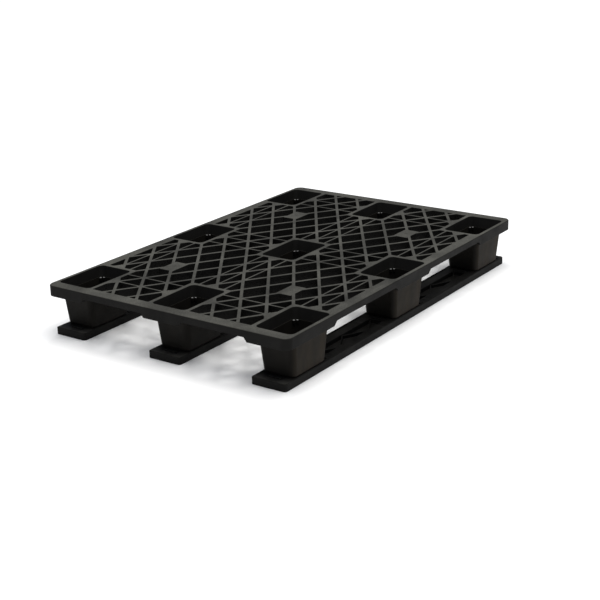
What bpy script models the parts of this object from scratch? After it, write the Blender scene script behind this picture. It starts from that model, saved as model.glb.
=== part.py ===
"""Plastic pallet: one moulded grid deck, nine hollow feet and three clip-on runners.

Run with: blender --background --python part.py
Units are metres.  X runs across the pallet, Y along the runners and +Z up, with the
origin on the floor under the middle of the deck.
"""
import math

import bmesh
import bpy
from mathutils import Matrix, Vector

# ---------------------------------------------------------------- deck
DECK_X = 0.800
DECK_Y = 1.200
DECK_TOP = 0.144
DECK_CORNER = 0.022
RIM_X = 0.032                   # width of the solid rim along the long sides
RIM_Y = 0.037                   # and along the short ends
GRID_DEPTH = 0.025              # height of the grid's ribs
APRON_DEPTH = 0.019             # height of the deck's edge between the feet
COLLAR_DEPTH = 0.031            # and at the feet
COLLAR_FOOT = (0.056, 0.082)    # half size of a foot's collar at its lower edge
COLLAR_SPREAD = (0.008, 0.013)  # how much wider it is where it meets the apron
RIM_SKIN = 0.004                # walls of the hollow rim

# ---------------------------------------------------------------- openings over the feet
PITCH_X = 0.3324
PITCH_Y = 0.480
CUP = (0.0564, 0.0858)          # half size of an opening in the deck's top
CUP_CORNER = 0.014
CUP_BORDER = 0.012              # solid border round each opening
CUP_SHOULDER = 0.001            # step between a collar's inner face and its foot's

# ---------------------------------------------------------------- grid
GRID_X = PITCH_X / 4            # width of one diamond
GRID_Y = PITCH_Y / 4
RIB_DIAGONAL = 0.009
RIB_STRAIGHT = 0.005
RIB_LINES = (-1, 0, 1)          # straight ribs beside and in line with the feet
GUSSET_X = 0.0208               # solid web where two ribs meet the end of an opening
GUSSET_Y = 0.0300               # and the side of an opening
GUSSET_REACH = 0.014
PLATE = (0.048, 0.072)          # the four solid plates in the grid
PLATE_AT = (0.200, 0.300)

# ---------------------------------------------------------------- feet
GAP = 0.0003                    # clearance between neighbouring pieces
RUNNER_Z = 0.0215
FOOT_TOP_Z = DECK_TOP - COLLAR_DEPTH - GAP
FOOT_BASE_Z = RUNNER_Z + GAP
FOOT_TOP = (0.0550, 0.0800)     # outer half size just under the collar
FOOT_BASE = (0.0480, 0.0720)    # and at the base
FOOT_CORNER = 0.016
FOOT_EDGE = 0.004               # rounding of the base's lower edge
FOOT_WALL = 0.0032
FOOT_FLOOR = 0.004
LUG_RADIUS = 0.0032             # round bosses in two opposite inner corners of a foot
LUG_HEIGHT = 0.010
LUG_DROP = 0.002                # their tops, below the foot's top
LUG_REACH = 0.011               # from the middle of the corner's rounding
LUG_TURN = math.radians(25)     # either side of the corner's diagonal
LUG_SEGMENTS = 12

# ---------------------------------------------------------------- runners
RUNNER_INNER = -0.0535          # its two long sides, from the middle of its feet
RUNNER_OUTER = 0.0505
RUNNER_Y = 1.180
RUNNER_CORNER = 0.010           # rounding of the two outer corners
RUNNER_EDGE = 0.003             # chamfer round the top
WAIST = 0.008                   # how far the inner side steps in between the feet
WAIST_RAMP = 0.013
PAD = (-0.078, 0.099)           # the wide stretch under a foot, from the foot's centre
CHANNEL_X = 0.038
CHANNEL_AT = 0.004              # its middle, from the runner's middle
CHANNEL = (0.101, -0.096)       # its ends, from the feet behind and in front of it
CHANNEL_DEPTH = 0.012
ZIGZAG_RIB = 0.0035
ZIGZAG_DROP = 0.003             # the zigzag rib's top, below the runner's
ZIGZAG_LEGS = 4
RIDGE = (0.080, 0.018, 0.0025)
RIDGE_AT = 0.087
BAR = (0.038, 0.008, 0.003)
BAR_AT = -0.087
HOOK_AT = (-0.018, 0.026)       # two snap hooks on each pad
HOOK = (0.024, 0.005)
HOOK_NOSE = (0.0025, 0.003)     # how far the nose stands out, and its height
HOOK_RISE = 0.010               # above the runner's top
WELL = (0.034, 0.018, 0.008)    # recess that a hook stands in
SLOT_CLEARANCE = 0.0012         # round a hook, in the floor of its foot

CUT = 0.010                     # how far a cutter runs past the face it opens
BITE = 0.001                    # how far a joined shape runs into its neighbour
SEGMENTS = 4                    # of a rounded corner

DECK_COLOUR = (0.040, 0.039, 0.036, 1.0)
FOOT_COLOUR = (0.034, 0.031, 0.027, 1.0)
RUNNER_COLOUR = (0.030, 0.029, 0.028, 1.0)
ROUGHNESS = 0.55

COLUMNS = (("left", -1), ("middle", 0), ("right", 1))
ROWS = (("front", -1), ("centre", 0), ("rear", 1))


# ---------------------------------------------------------------- scene helpers
def clear_scene():
    for old in list(bpy.data.objects):
        bpy.data.objects.remove(old, do_unlink=True)


def new_collection(name):
    collection = bpy.data.collections.new(name)
    bpy.context.scene.collection.children.link(collection)
    return collection


def plastic(name, colour):
    material = bpy.data.materials.new(name)
    material.use_nodes = True
    shader = material.node_tree.nodes["Principled BSDF"]
    shader.inputs["Base Color"].default_value = colour
    shader.inputs["Roughness"].default_value = ROUGHNESS
    shader.inputs["Metallic"].default_value = 0.0
    return material


def to_object(mesh_data, name, collection):
    """Closes a bmesh into a new object with its faces pointing out."""
    bmesh.ops.recalc_face_normals(mesh_data, faces=mesh_data.faces)
    mesh = bpy.data.meshes.new(name)
    mesh_data.to_mesh(mesh)
    mesh_data.free()
    obj = bpy.data.objects.new(name, mesh)
    collection.objects.link(obj)
    return obj


def to_cutter(mesh_data, name, collection):
    """The same, for a shape that only cuts or joins others."""
    obj = to_object(mesh_data, name, collection)
    obj.hide_render = True
    obj.display_type = "WIRE"
    return obj


def combine(obj, operation, *others):
    """Adds exact Booleans, in order."""
    for other in others:
        modifier = obj.modifiers.new(other.name, "BOOLEAN")
        modifier.operation = operation
        modifier.solver = "EXACT"
        modifier.object = other


def evaluated_mesh(obj):
    """The object's mesh with its modifiers worked out, for copies to share."""
    depsgraph = bpy.context.evaluated_depsgraph_get()
    return bpy.data.meshes.new_from_object(obj.evaluated_get(depsgraph))


# ---------------------------------------------------------------- solids
def add_box(mesh_data, centre, size, angle=0.0):
    """A box with its centre, full size and a turn about Z."""
    place = Matrix.Translation(centre) @ Matrix.Rotation(angle, 4, "Z")
    scale = Matrix.Diagonal((*size, 1.0))
    return bmesh.ops.create_cube(mesh_data, size=1.0, matrix=place @ scale)["verts"]


def add_span(mesh_data, low, high):
    """A box between two corners."""
    low = Vector(low)
    high = Vector(high)
    return add_box(mesh_data, (low + high) / 2, high - low)


def add_diamond(mesh_data, centre, half_x, half_y, low, high):
    """An upright prism whose outline is a diamond."""
    place = Matrix.Translation((*centre, (low + high) / 2))
    scale = Matrix.Diagonal((half_x, half_y, high - low, 1.0))
    bmesh.ops.create_cone(
        mesh_data, cap_ends=True, segments=4, radius1=1.0, radius2=1.0, depth=1.0, matrix=place @ scale
    )


def upright_edges(verts):
    edges = {edge for vert in verts for edge in vert.link_edges}
    return [edge for edge in edges if abs(edge.verts[0].co.z - edge.verts[1].co.z) > GAP]


def add_taper(mesh_data, centre, base_half, base_z, top_half, top_z, corner=0.0):
    """A tapering box, with its upright edges rounded where a corner radius is given."""
    verts = bmesh.ops.create_cube(mesh_data, size=2.0)["verts"]
    for vert in verts:
        half, level = (top_half, top_z) if vert.co.z > 0 else (base_half, base_z)
        vert.co = (centre[0] + half[0] * vert.co.x, centre[1] + half[1] * vert.co.y, level)
    if corner:
        edges = upright_edges(verts)
        bmesh.ops.bevel(mesh_data, geom=edges, offset=corner, segments=SEGMENTS, profile=0.5, affect="EDGES")


def between(base, base_z, top, top_z, level):
    """A drafted half size at any level, past either end too."""
    share = (level - base_z) / (top_z - base_z)
    return tuple(low + (high - low) * share for low, high in zip(base, top))


def foot_centres():
    return [(column * PITCH_X, row * PITCH_Y) for _, row in ROWS for _, column in COLUMNS]


# ---------------------------------------------------------------- deck
def grid_cells(cutters):
    """The grid's openings: diamonds, less the rim, borders, ribs and plates that stay solid."""
    low = DECK_TOP - COLLAR_DEPTH - CUT
    high = DECK_TOP + CUT
    slope = math.hypot(GRID_X, GRID_Y)
    half_x = GRID_X / 2 - RIB_DIAGONAL / 2 * slope / GRID_Y
    half_y = GRID_Y / 2 - RIB_DIAGONAL / 2 * slope / GRID_X
    across = math.ceil(DECK_X / GRID_X)
    along = math.ceil(DECK_Y / GRID_Y)
    diamonds = bmesh.new()
    for i in range(-across, across + 1):
        for j in range(-along, along + 1):
            if (i + j) % 2:
                add_diamond(diamonds, (i * GRID_X / 2, j * GRID_Y / 2), half_x, half_y, low, high)
    cells = to_cutter(diamonds, "grid_cells", cutters)

    low -= CUT
    high += CUT
    window = bmesh.new()
    inner = (DECK_X / 2 - RIM_X, DECK_Y / 2 - RIM_Y)
    add_taper(window, (0, 0), inner, low, inner, high)
    combine(cells, "INTERSECT", to_cutter(window, "window", cutters))
    kept = (
        keep_borders(low, high, cutters),
        keep_bars(low, high, cutters, "end_gussets", (GUSSET_X / 2, CUP[1] + CUP_BORDER + GUSSET_REACH)),
        keep_bars(low, high, cutters, "side_gussets", (CUP[0] + CUP_BORDER + GUSSET_REACH, GUSSET_Y / 2)),
        keep_long_ribs(low, high, cutters),
        keep_cross_ribs(low, high, cutters),
        keep_plates(low, high, cutters),
    )
    combine(cells, "DIFFERENCE", *kept)
    return cells


def keep_borders(low, high, cutters):
    borders = bmesh.new()
    half = (CUP[0] + CUP_BORDER, CUP[1] + CUP_BORDER)
    for centre in foot_centres():
        add_taper(borders, centre, half, low, half, high)
    return to_cutter(borders, "borders", cutters)


def keep_bars(low, high, cutters, name, half):
    """A bar through each opening, whose ends fill the narrow corners between two ribs."""
    bars = bmesh.new()
    for centre in foot_centres():
        add_taper(bars, centre, half, low, half, high)
    return to_cutter(bars, name, cutters)


def keep_long_ribs(low, high, cutters):
    """Straight ribs that join the openings of one column."""
    ribs = bmesh.new()
    for _, column in COLUMNS:
        for line in RIB_LINES:
            for row in (-0.5, 0.5):
                centre = (column * PITCH_X + line * GRID_X / 2, row * PITCH_Y)
                half = (RIB_STRAIGHT / 2, PITCH_Y / 2 - CUP[1])
                add_taper(ribs, centre, half, low, half, high)
    return to_cutter(ribs, "long_ribs", cutters)


def keep_cross_ribs(low, high, cutters):
    """Straight ribs that join the openings of one row, only inside the outer feet's middles."""
    ribs = bmesh.new()
    for _, row in ROWS:
        for line in RIB_LINES:
            if abs(row + line) > 1:
                continue
            for column in (-0.5, 0.5):
                centre = (column * PITCH_X, row * PITCH_Y + line * GRID_Y / 2)
                half = (PITCH_X / 2 - CUP[0], RIB_STRAIGHT / 2)
                add_taper(ribs, centre, half, low, half, high)
    return to_cutter(ribs, "cross_ribs", cutters)


def keep_plates(low, high, cutters):
    plates = bmesh.new()
    half = (PLATE[0] / 2, PLATE[1] / 2)
    for x in (-PLATE_AT[0], PLATE_AT[0]):
        for y in (-PLATE_AT[1], PLATE_AT[1]):
            add_taper(plates, (x, y), half, low, half, high)
    return to_cutter(plates, "plates", cutters)


def cup_openings(cutters):
    """The openings over the feet, narrowing towards them."""
    bottom = DECK_TOP - COLLAR_DEPTH
    base = tuple(half - FOOT_WALL + CUP_SHOULDER for half in FOOT_TOP)
    openings = bmesh.new()
    low = between(base, bottom, CUP, DECK_TOP, bottom - CUT)
    high = between(base, bottom, CUP, DECK_TOP, DECK_TOP + CUT)
    for centre in foot_centres():
        add_taper(openings, centre, low, bottom - CUT, high, DECK_TOP + CUT, CUP_CORNER)
    return to_cutter(openings, "cup_openings", cutters)


def collar_half(level):
    """Half size of a foot's collar at a height."""
    bottom = DECK_TOP - COLLAR_DEPTH
    wide = tuple(half + spread for half, spread in zip(COLLAR_FOOT, COLLAR_SPREAD))
    return between(COLLAR_FOOT, bottom, wide, DECK_TOP - APRON_DEPTH, level)


def underside_lanes(cutters):
    """Relief between the collars, up to the underside of the grid, along Y and along X."""
    low = DECK_TOP - COLLAR_DEPTH - CUT
    high = DECK_TOP - GRID_DEPTH
    narrow = collar_half(low)
    wide = collar_half(high)
    long_lanes = bmesh.new()
    cross_lanes = bmesh.new()
    for side in (-0.5, 0.5):
        base = (PITCH_X / 2 - narrow[0], DECK_Y / 2 + CUT)
        top = (PITCH_X / 2 - wide[0], DECK_Y / 2 + CUT)
        add_taper(long_lanes, (side * PITCH_X, 0), base, low, top, high)
        base = (DECK_X / 2 + CUT, PITCH_Y / 2 - narrow[1])
        top = (DECK_X / 2 + CUT, PITCH_Y / 2 - wide[1])
        add_taper(cross_lanes, (0, side * PITCH_Y), base, low, top, high)
    return to_cutter(long_lanes, "long_lanes", cutters), to_cutter(cross_lanes, "cross_lanes", cutters)


def apron_arches(cutters):
    """Shallow arches in the deck's edge, with sloping ends just inside those of the lanes."""
    low = DECK_TOP - COLLAR_DEPTH - CUT
    high = DECK_TOP - APRON_DEPTH
    narrow = collar_half(low)
    wide = collar_half(high)
    arches = bmesh.new()
    for end in (-1, 1):
        for side in (-0.5, 0.5):
            depth = (RIM_Y + BITE + CUT) / 2
            centre = (side * PITCH_X, end * (DECK_Y / 2 - RIM_Y - BITE + depth))
            base = (PITCH_X / 2 - narrow[0] - BITE, depth)
            add_taper(arches, centre, base, low, (PITCH_X / 2 - wide[0] - BITE, depth), high)
            depth = (RIM_X + BITE + CUT) / 2
            centre = (end * (DECK_X / 2 - RIM_X - BITE + depth), side * PITCH_Y)
            base = (depth, PITCH_Y / 2 - narrow[1] - BITE)
            add_taper(arches, centre, base, low, (depth, PITCH_Y / 2 - wide[1] - BITE), high)
    return to_cutter(arches, "apron_arches", cutters)


def rim_hollows(cutters):
    """Hollows under the rim between the feet, open below."""
    low = DECK_TOP - COLLAR_DEPTH - CUT
    high = DECK_TOP - RIM_SKIN
    hollows = bmesh.new()
    long_half = (RIM_X / 2 - RIM_SKIN, PITCH_Y / 2 - CUP[1] - 2 * CUP_BORDER)
    short_half = (PITCH_X / 2 - CUP[0] - 2 * CUP_BORDER, RIM_Y / 2 - RIM_SKIN)
    for end in (-1, 1):
        for side in (-0.5, 0.5):
            centre = (end * (DECK_X - RIM_X) / 2, side * PITCH_Y)
            add_taper(hollows, centre, long_half, low, long_half, high)
            centre = (side * PITCH_X, end * (DECK_Y - RIM_Y) / 2)
            add_taper(hollows, centre, short_half, low, short_half, high)
    return to_cutter(hollows, "rim_hollows", cutters)


def make_deck(parts, cutters):
    slab = bmesh.new()
    half = (DECK_X / 2, DECK_Y / 2)
    add_taper(slab, (0, 0), half, DECK_TOP - COLLAR_DEPTH, half, DECK_TOP, DECK_CORNER)
    deck = to_object(slab, "deck_grid", parts)
    combine(deck, "DIFFERENCE", grid_cells(cutters), cup_openings(cutters), *underside_lanes(cutters))
    combine(deck, "DIFFERENCE", apron_arches(cutters), rim_hollows(cutters))
    deck.data.materials.append(plastic("deck_plastic", DECK_COLOUR))


# ---------------------------------------------------------------- feet
def foot_shell(cutters):
    """A drafted tub with a rounded lower edge."""
    tub = bmesh.new()
    add_taper(tub, (0, 0), FOOT_BASE, FOOT_BASE_Z, FOOT_TOP, FOOT_TOP_Z, FOOT_CORNER)
    lower = [edge for edge in tub.edges if all(vert.co.z < FOOT_BASE_Z + GAP for vert in edge.verts)]
    bmesh.ops.bevel(tub, geom=lower, offset=FOOT_EDGE, segments=2, profile=0.5, affect="EDGES")
    foot = to_cutter(tub, "foot_shell", cutters)

    floor = FOOT_BASE_Z + FOOT_FLOOR
    base = between(FOOT_BASE, FOOT_BASE_Z, FOOT_TOP, FOOT_TOP_Z, floor)
    top = between(FOOT_BASE, FOOT_BASE_Z, FOOT_TOP, FOOT_TOP_Z, FOOT_TOP_Z + CUT)
    hollow = bmesh.new()
    inner_base = tuple(half - FOOT_WALL for half in base)
    inner_top = tuple(half - FOOT_WALL for half in top)
    inner_corner = FOOT_CORNER - FOOT_WALL
    add_taper(hollow, (0, 0), inner_base, floor, inner_top, FOOT_TOP_Z + CUT, inner_corner)
    combine(foot, "DIFFERENCE", to_cutter(hollow, "foot_hollow", cutters))
    return foot


def foot_lugs(cutters):
    """Two short round bosses in each of two opposite inner corners."""
    lugs = bmesh.new()
    level = FOOT_TOP_Z - LUG_DROP - LUG_HEIGHT / 2
    for side in (-1, 1):
        corner = Vector((side * (FOOT_TOP[0] - FOOT_CORNER), -side * (FOOT_TOP[1] - FOOT_CORNER), level))
        for turn in (-LUG_TURN, LUG_TURN):
            angle = math.atan2(-side, side) + turn
            reach = Vector((math.cos(angle), math.sin(angle), 0)) * LUG_REACH
            bmesh.ops.create_cone(
                lugs,
                cap_ends=True,
                segments=LUG_SEGMENTS,
                radius1=LUG_RADIUS,
                radius2=LUG_RADIUS,
                depth=LUG_HEIGHT,
                matrix=Matrix.Translation(corner + reach),
            )
    return to_cutter(lugs, "foot_lugs", cutters)


def hook_slots(cutters):
    """Slots in a foot's floor that its runner's hooks snap into."""
    slots = bmesh.new()
    reach = HOOK[1] + HOOK_NOSE[0]
    for at in HOOK_AT:
        centre = (CHANNEL_AT, at + HOOK_NOSE[0] / 2, FOOT_BASE_Z + FOOT_FLOOR / 2)
        size = (HOOK[0] + 2 * SLOT_CLEARANCE, reach + 2 * SLOT_CLEARANCE, FOOT_FLOOR + CUT)
        add_box(slots, centre, size)
    return to_cutter(slots, "hook_slots", cutters)


def make_feet(parts, cutters):
    foot = foot_shell(cutters)
    combine(foot, "UNION", foot_lugs(cutters))
    combine(foot, "DIFFERENCE", hook_slots(cutters))
    mesh = evaluated_mesh(foot)
    mesh.materials.append(plastic("foot_plastic", FOOT_COLOUR))
    for row_name, row in ROWS:
        for column_name, column in COLUMNS:
            copy = bpy.data.objects.new(f"foot_{row_name}_{column_name}", mesh)
            copy.location = (column * PITCH_X, row * PITCH_Y, 0)
            parts.objects.link(copy)


# ---------------------------------------------------------------- runners
def runner_bar(cutters):
    """A flat bar with two rounded outer corners and a chamfer round its top."""
    bar = bmesh.new()
    verts = add_span(bar, (RUNNER_INNER, -RUNNER_Y / 2, 0), (RUNNER_OUTER, RUNNER_Y / 2, RUNNER_Z))
    outer = [edge for edge in upright_edges(verts) if edge.verts[0].co.x > 0]
    bmesh.ops.bevel(bar, geom=outer, offset=RUNNER_CORNER, segments=SEGMENTS, profile=0.5, affect="EDGES")
    upper = [edge for edge in bar.edges if all(vert.co.z > RUNNER_Z - GAP for vert in edge.verts)]
    bmesh.ops.bevel(bar, geom=upper, offset=RUNNER_EDGE, segments=1, profile=0.5, affect="EDGES")
    return to_cutter(bar, "runner_bar", cutters)


def runner_waists(cutters):
    """What the inner side leaves out between two pads: a step at one end and a ramp at the other."""
    waists = bmesh.new()
    inside = RUNNER_INNER + WAIST
    outside = RUNNER_INNER - CUT
    for row in (-1, 0):
        start = row * PITCH_Y + PAD[1]
        end = (row + 1) * PITCH_Y + PAD[0] - WAIST_RAMP
        verts = add_span(waists, (outside, start, -CUT), (inside, end, RUNNER_Z + CUT))
        for vert in verts:
            if vert.co.x < RUNNER_INNER and vert.co.y > start + GAP:
                vert.co.y += WAIST_RAMP * (WAIST + CUT) / WAIST
    return to_cutter(waists, "runner_waists", cutters)


def runner_channels(cutters):
    """A channel between two pads, less the zigzag rib that stands in it."""
    channels = bmesh.new()
    legs = (bmesh.new(), bmesh.new())
    floor = RUNNER_Z - CHANNEL_DEPTH
    for row in (-1, 0):
        start = row * PITCH_Y + CHANNEL[0]
        end = (row + 1) * PITCH_Y + CHANNEL[1]
        half = CHANNEL_X / 2
        add_span(channels, (CHANNEL_AT - half, start, floor), (CHANNEL_AT + half, end, RUNNER_Z + CUT))
        step = (end - start) / ZIGZAG_LEGS
        lean = math.atan2(CHANNEL_X, step)
        length = math.hypot(CHANNEL_X, step) + ZIGZAG_RIB
        for leg in range(ZIGZAG_LEGS):
            turn = -lean if leg % 2 == 0 else lean
            middle = (CHANNEL_AT, start + step * (leg + 0.5), (RUNNER_Z - ZIGZAG_DROP) / 2)
            add_box(legs[leg % 2], middle, (ZIGZAG_RIB, length, RUNNER_Z - ZIGZAG_DROP), turn)
    cutter = to_cutter(channels, "runner_channels", cutters)
    for index, shape in enumerate(legs):
        combine(cutter, "DIFFERENCE", to_cutter(shape, f"zigzag_{index}", cutters))
    return cutter


def runner_wells(cutters):
    wells = bmesh.new()
    for _, row in ROWS:
        for at in HOOK_AT:
            centre = (CHANNEL_AT, row * PITCH_Y + at + HOOK_NOSE[0] / 2, RUNNER_Z - WELL[2] / 2 + CUT / 2)
            add_box(wells, centre, (WELL[0], WELL[1], WELL[2] + CUT))
    return to_cutter(wells, "runner_wells", cutters)


def runner_hooks(cutters):
    """Snap hooks: a stem from the well's floor with a nose near its top."""
    stems = bmesh.new()
    noses = bmesh.new()
    low = RUNNER_Z - WELL[2] - BITE
    high = RUNNER_Z + HOOK_RISE
    for _, row in ROWS:
        for at in HOOK_AT:
            y = row * PITCH_Y + at
            add_box(stems, (CHANNEL_AT, y, (low + high) / 2), (HOOK[0], HOOK[1], high - low))
            depth = HOOK_NOSE[0] + BITE
            centre = (CHANNEL_AT, y + (HOOK[1] + depth) / 2 - BITE, high - HOOK_NOSE[1] / 2 - BITE)
            add_box(noses, centre, (HOOK[0] - 2 * BITE, depth, HOOK_NOSE[1]))
    return to_cutter(stems, "hook_stems", cutters), to_cutter(noses, "hook_noses", cutters)


def runner_ridges(cutters):
    """A flat ridge behind each foot and a low bar in front of it."""
    ridges = bmesh.new()
    for _, row in ROWS:
        for size, at in ((RIDGE, RIDGE_AT), (BAR, BAR_AT)):
            centre = (CHANNEL_AT, row * PITCH_Y + at, RUNNER_Z + (size[2] - BITE) / 2)
            add_box(ridges, centre, (size[0], size[1], size[2] + BITE))
    return to_cutter(ridges, "runner_ridges", cutters)


def make_runners(parts, cutters):
    runner = runner_bar(cutters)
    combine(runner, "DIFFERENCE", runner_waists(cutters), runner_channels(cutters), runner_wells(cutters))
    combine(runner, "UNION", runner_ridges(cutters), *runner_hooks(cutters))
    mesh = evaluated_mesh(runner)
    mesh.materials.append(plastic("runner_plastic", RUNNER_COLOUR))
    for column_name, column in COLUMNS:
        copy = bpy.data.objects.new(f"runner_{column_name}", mesh)
        copy.location = (column * PITCH_X, 0, 0)
        parts.objects.link(copy)


def main():
    clear_scene()
    parts = new_collection("plastic_pallet")
    cutters = new_collection("cutters")
    make_deck(parts, cutters)
    make_feet(parts, cutters)
    make_runners(parts, cutters)


main()
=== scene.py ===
"""The looks of a black plastic pallet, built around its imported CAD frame.

The deck is one fine mesh: its grid openings are worked out in plan from two families of
diagonal ribs, straight ribs, plates and borders, then filleted and drafted.  The feet and
runners are lofted from rounded outlines.  Everything is in metres, +Z up.
"""
import math

import bmesh
import bpy
from mathutils import Matrix, Vector
from mathutils.geometry import delaunay_2d_cdt


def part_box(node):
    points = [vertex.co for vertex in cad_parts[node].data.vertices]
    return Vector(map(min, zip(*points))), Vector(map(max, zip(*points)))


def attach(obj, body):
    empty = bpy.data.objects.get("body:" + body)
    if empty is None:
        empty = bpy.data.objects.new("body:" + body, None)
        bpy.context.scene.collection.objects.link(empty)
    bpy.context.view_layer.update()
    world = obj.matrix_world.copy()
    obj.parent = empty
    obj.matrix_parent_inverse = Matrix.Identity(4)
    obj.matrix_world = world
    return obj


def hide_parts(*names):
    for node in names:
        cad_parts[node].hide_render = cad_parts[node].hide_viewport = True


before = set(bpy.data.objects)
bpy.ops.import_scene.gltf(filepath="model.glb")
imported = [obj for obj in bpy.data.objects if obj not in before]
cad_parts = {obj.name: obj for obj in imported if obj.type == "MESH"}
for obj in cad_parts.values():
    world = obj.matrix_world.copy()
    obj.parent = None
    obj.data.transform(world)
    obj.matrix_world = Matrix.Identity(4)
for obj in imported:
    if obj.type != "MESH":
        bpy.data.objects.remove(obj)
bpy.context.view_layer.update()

# ---------------------------------------------------------------- places taken from the frame
COLUMN_NAMES = ("left", "middle", "right")
ROW_NAMES = ("front", "centre", "rear")
DECK_LOW, DECK_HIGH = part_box("deck_grid")
FOOT_LOW, FOOT_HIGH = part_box("foot_centre_middle")
RUNNER_LOW, RUNNER_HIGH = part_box("runner_middle")
PITCH_X = (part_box("foot_centre_right")[0].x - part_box("foot_centre_left")[0].x) / 2
PITCH_Y = (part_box("foot_rear_middle")[0].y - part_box("foot_front_middle")[0].y) / 2

# ---------------------------------------------------------------- deck
TOP = DECK_HIGH.z
COLLAR_BASE = DECK_LOW.z
DECK_HALF = (DECK_HIGH.x, DECK_HIGH.y)
DECK_CORNER = 0.022
GRID_BASE = TOP - 0.025         # underside of the grid's ribs
APRON_BASE = TOP - 0.019        # underside of the deck's edge between the feet
RIM = (0.032, 0.037)            # width of the solid rim, long sides and short ends
SKIN = 0.0035                   # walls of the hollow rim
EDGE_FILLET = 0.0030            # rounding of the deck's outer top edge
CUP_FILLET = 0.0016             # rounding of the openings over the feet
COLLAR_EDGE = 0.0008            # rounding of the collars' lower outer edges
RIB_FILLET = 0.0009             # rounding of the ribs' top edges
FILLET_STEPS = 3
CELL_CORNER = 0.0022            # rounding of the openings' corners in plan
CELL_DRAFT = 0.0004
SMALLEST_CELL = 25e-6           # square metres; anything less is filled in
SHORTEST_EDGE = 0.0025          # shorter edges of an opening are merged into one corner

CUP = (0.0564, 0.0858)          # half size of an opening over a foot
CUP_CORNER = 0.014
CUP_BORDER = 0.012              # solid frame round it
COLLAR = (0.0528, 0.0778)       # half size of the same opening at the collar's base
COLLAR_CORNER = CUP_CORNER - 0.001
RIB_DIAGONAL = 0.009            # width of the diagonal ribs
RIB_STRAIGHT = 0.0055           # and of the straight ones
GUSSET = (0.0104, 0.0150)       # half widths of the webs at an opening's ends and sides
GUSSET_REACH = 0.014            # how far they stand out past the frame
PLATE_HALF = (0.024, 0.036)     # solid plates in the grid
PLATE_AT = (0.200, 0.300)
GATE_RADIUS = 0.005             # round mark in the middle of each plate
GATE_DEPTH = 0.0004
NUB_RADII = (0.0018, 0.0012)    # nub in the mark, at its base and its top
NUB_SHARE = 0.8                 # its height against the mark's depth
COLLAR_FOOT = (0.056, 0.082)    # outer half size of a collar at its lower edge
COLLAR_SLOPE = (8 / 12, 13 / 12)  # how fast it widens upwards
ARCH_MARGIN = 0.0007            # how much narrower an arch is than a lane, on each side
SIDE_BAY = 0.060                # spacing of the webs under the rim, long sides
END_BAY = 0.055                 # and short ends
LIP = (0.090, 0.030, 0.010)     # row of hollows beyond an end foot: length, spacing, gap
HOLLOW_DRAFT = 0.001            # how much smaller a hollow is at its top

# ---------------------------------------------------------------- feet
FOOT_BASE = FOOT_LOW.z
FOOT_TOP_HALF = (FOOT_HIGH.x, FOOT_HIGH.y)
FOOT_BASE_HALF = (0.0480, 0.0720)
FOOT_CORNER = 0.0155
FOOT_SMALLEST_CORNER = 0.002
FOOT_EDGE = 0.0050              # rounding of the lower edge, outside
FOOT_INNER_EDGE = FOOT_EDGE - 0.001
FOOT_WALL = 0.0032
FOOT_FLOOR = 0.0040
FOOT_OVERLAP = 0.0006           # how far a foot's wall runs up into its collar
LUG_RADIUS = 0.0037             # bosses in two opposite inner corners of a foot
LUG_HEIGHT = 0.010
LUG_DOME = 0.0020               # rounding of their tops
LUG_TOE = (0.0005, 0.0015)      # chamfer at their lower ends, inwards and upwards
LUG_DROP = 0.0002               # their tops, below the foot's top
LUG_SHIFT = (0.0025, 0.0010)    # towards the foot's middle and towards its end wall
LUG_TOP = COLLAR_BASE - LUG_DROP
LUG_REACH = 0.011               # from the middle of the corner's rounding
LUG_TURN = math.radians(25)     # either side of the corner's diagonal

# ---------------------------------------------------------------- runners
RUNNER_TOP = 0.0215
RUNNER_CORNER = 0.010           # rounding of the two corners on +X
BEND_CORNER = 0.004             # rounding of every other corner
RUNNER_EDGE = 0.0026            # rounding of the top edge
RUNNER_TOE = 0.0008             # chamfer of the lower edge
WAIST = 0.008                   # how far the -X side steps in between the feet
WAIST_RAMP = 0.013              # length of the step in front of a foot
WAIST_STEP = 0.003              # and behind it
PAD = (-0.078, 0.099)           # the wide stretch under a foot, from the foot's middle
CHANNEL_AT = 0.004              # X of the channels, hooks and ridges, from the feet's middle
CHANNEL_HALF = 0.019
CHANNEL = (0.101, -0.096)       # its ends, from the feet behind and in front of it
CHANNEL_CORNER = 0.004
CHANNEL_DEPTH = 0.012
ZIGZAG_RIB = 0.0035             # thickness of the zigzag ribs in the channels
ZIGZAG_DROP = 0.003             # their tops, below the runner's top
ZIGZAG_EDGE = 0.0007            # chamfer of the ribs' tops
ZIGZAG_SPREAD = 0.0004          # how much thicker they are on each side below the floor
ZIGZAG_SINK = 0.001             # how far they go down into it
ZIGZAG_REACH = 0.0015           # how far they run past the zigzag's corners
ZIGZAG_LEGS = 4
HOOK_AT = (-0.018, 0.026)       # Y of the two hooks, from the foot's middle
HOOK = (0.024, 0.005)           # width and thickness of the stem
HOOK_NOSE = 0.0025              # how far the barb stands out
HOOK_TOP = RUNNER_HIGH.z
HOOK_EDGE = 0.0006              # chamfer of the hook's two sides
HOOK_FLARE = 0.001              # how much wider and deeper its root is
HOOK_BEND = 0.003               # height over which the root narrows
HOOK_BARB = (0.0042, 0.0036, 0.0026, 0.0002)  # the barb's corners, below the top
HOOK_SLANT = 0.0005             # how far the barb's slope runs past the stem's side
HOOK_TIP = (0.0015, 0.0010)     # bevels of the tip, on the barb's side and behind it
WELL = (0.034, 0.018, 0.008)    # pocket round a hook: width, length, depth
WELL_CORNER = 0.003
SLOT_CLEARANCE = 0.0012         # round a hook in the foot's floor
RIDGE = (0.080, 0.018, 0.0025, 0.087)   # size, and its place behind the foot's middle
BAR = (0.038, 0.008, 0.003, -0.087)
RIDGE_CORNER = 0.002
RIDGE_EDGE = 0.0012
RIDGE_SINK = 0.001              # how far ridges and bars go down into the runner

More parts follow.
